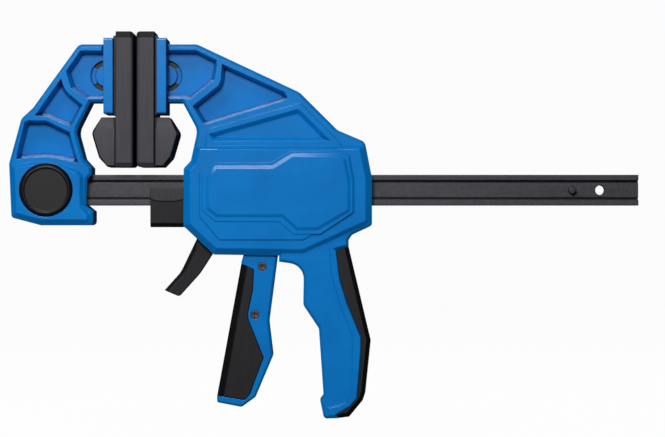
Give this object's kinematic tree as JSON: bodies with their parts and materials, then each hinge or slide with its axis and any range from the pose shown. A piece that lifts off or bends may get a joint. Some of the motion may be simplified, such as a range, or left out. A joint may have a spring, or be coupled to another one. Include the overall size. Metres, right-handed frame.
{
  "type": "quick release bar clamp",
  "caption": "One-handed bar clamp: a fixed jaw and a sliding pistol-grip jaw with rubber pads on a steel bar, with squeeze trigger, release lever and lock button.",
  "frame": {"origin": "centre of the fixed jaw pad's clamping face, with the clamp closed to 2.2 mm", "axes": "+X along the bar from the fixed jaw to the bar's free end, +Z from the handle up to the jaws' tips, +Y to the far side of the clamp"},
  "size_m": [0.4789, 0.046, 0.2935],
  "materials": {
    "blue_nylon": "fine moulded grain",
    "black_rubber": "soft matte",
    "black_nylon": "fine moulded grain",
    "black_steel": "black phosphate, satin",
    "black_screw": "black oxide",
    "bright_steel": "zinc plated",
    "spring_steel": "drawn wire"
  },
  "bodies": {
    "bar": {"bar": "black_steel", "bar_stop_pin": "black_steel", "fixed_jaw": "blue_nylon", "fixed_pad_core": "black_nylon", "fixed_pad": "black_rubber", "lock_button_spring": "spring_steel"},
    "lock_button": {"lock_button": "black_nylon", "lock_pin": "bright_steel", "lock_pin_clip": "spring_steel"},
    "moving_jaw": {"housing_front_shell": "blue_nylon", "housing_back_shell": "blue_nylon", "handle_grip": "black_rubber", "moving_pad_core": "black_nylon", "moving_pad": "black_rubber", "front_guide_shoe": "black_nylon", "housing_screws": "black_screw", "trigger_pivot_pin": "bright_steel", "drive_spring": "spring_steel", "brake_spring": "spring_steel"},
    "trigger": {"trigger_lever": "bright_steel", "trigger_front_shell": "blue_nylon", "trigger_back_shell": "blue_nylon", "trigger_grip": "black_rubber", "trigger_screws": "black_screw"},
    "drive_plates": {"drive_plate_front": "bright_steel", "drive_plate_rear": "bright_steel"},
    "release_lever": {"brake_plate": "bright_steel", "release_lever": "black_nylon"}
  },
  "joints": [
    {"name": "lock_button_press", "type": "slide", "parent": "bar", "child": "lock_button", "axis": [0, 1, 0], "range_m": [0, 0.003], "stiffness_N_per_m": 900, "springref_m": -0.002, "deforming": ["lock_button_spring"]},
    {"name": "jaw_slide", "type": "slide", "parent": "bar", "child": "moving_jaw", "axis": [1, 0, 0], "range_m": [-0.0019, 0.1497]},
    {"name": "trigger_squeeze", "type": "hinge", "parent": "moving_jaw", "child": "trigger", "pos_m": [0.108, 0, -0.0418], "axis": [0, -1, 0], "range_deg": [0, 11], "stiffness_Nm_per_rad": 3, "springref_deg": -8.59},
    {"name": "drive_plates_slide", "type": "slide", "parent": "moving_jaw", "child": "drive_plates", "axis": [1, 0, 0], "range_m": [0, 0.0052], "deforming": ["drive_spring"]},
    {"name": "release_lever_press", "type": "hinge", "parent": "moving_jaw", "child": "release_lever", "pos_m": [0.058, 0, -0.0418], "axis": [0, -1, 0], "range_deg": [0, 5], "stiffness_Nm_per_rad": 3, "springref_deg": -8.59, "deforming": ["brake_spring"]}
  ],
  "couplings": [
    {"joint": "drive_plates_slide", "follows": "trigger_squeeze", "m_per_rad": 0.02695}
  ]
}
